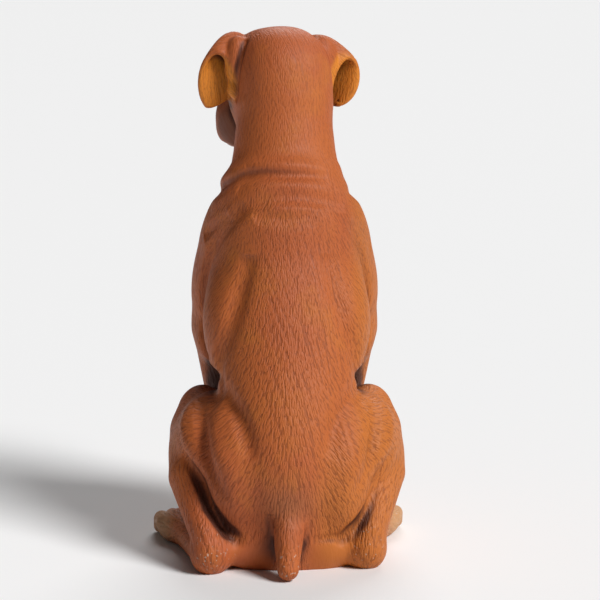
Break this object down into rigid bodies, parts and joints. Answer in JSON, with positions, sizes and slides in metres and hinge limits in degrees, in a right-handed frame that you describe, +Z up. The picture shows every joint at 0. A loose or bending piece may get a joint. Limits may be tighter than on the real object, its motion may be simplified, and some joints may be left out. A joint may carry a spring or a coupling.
{
  "type": "sitting dog garden statue",
  "caption": "Painted resin garden statue of a short-coated dog sitting upright with its head turned aside and ears folded over.",
  "frame": {"origin": "middle of the statue's footprint box on the ground", "axes": "+Z up, the chest faces -Y, the dog's left side is towards +X"},
  "size_m": [0.1986, 0.2448, 0.3991],
  "materials": {
    "painted_resin": "satin orange-brown paint with a dark wash in the carved coat"
  },
  "bodies": {
    "root": {"boxer_figure": "painted_resin"}
  },
  "joints": []
}
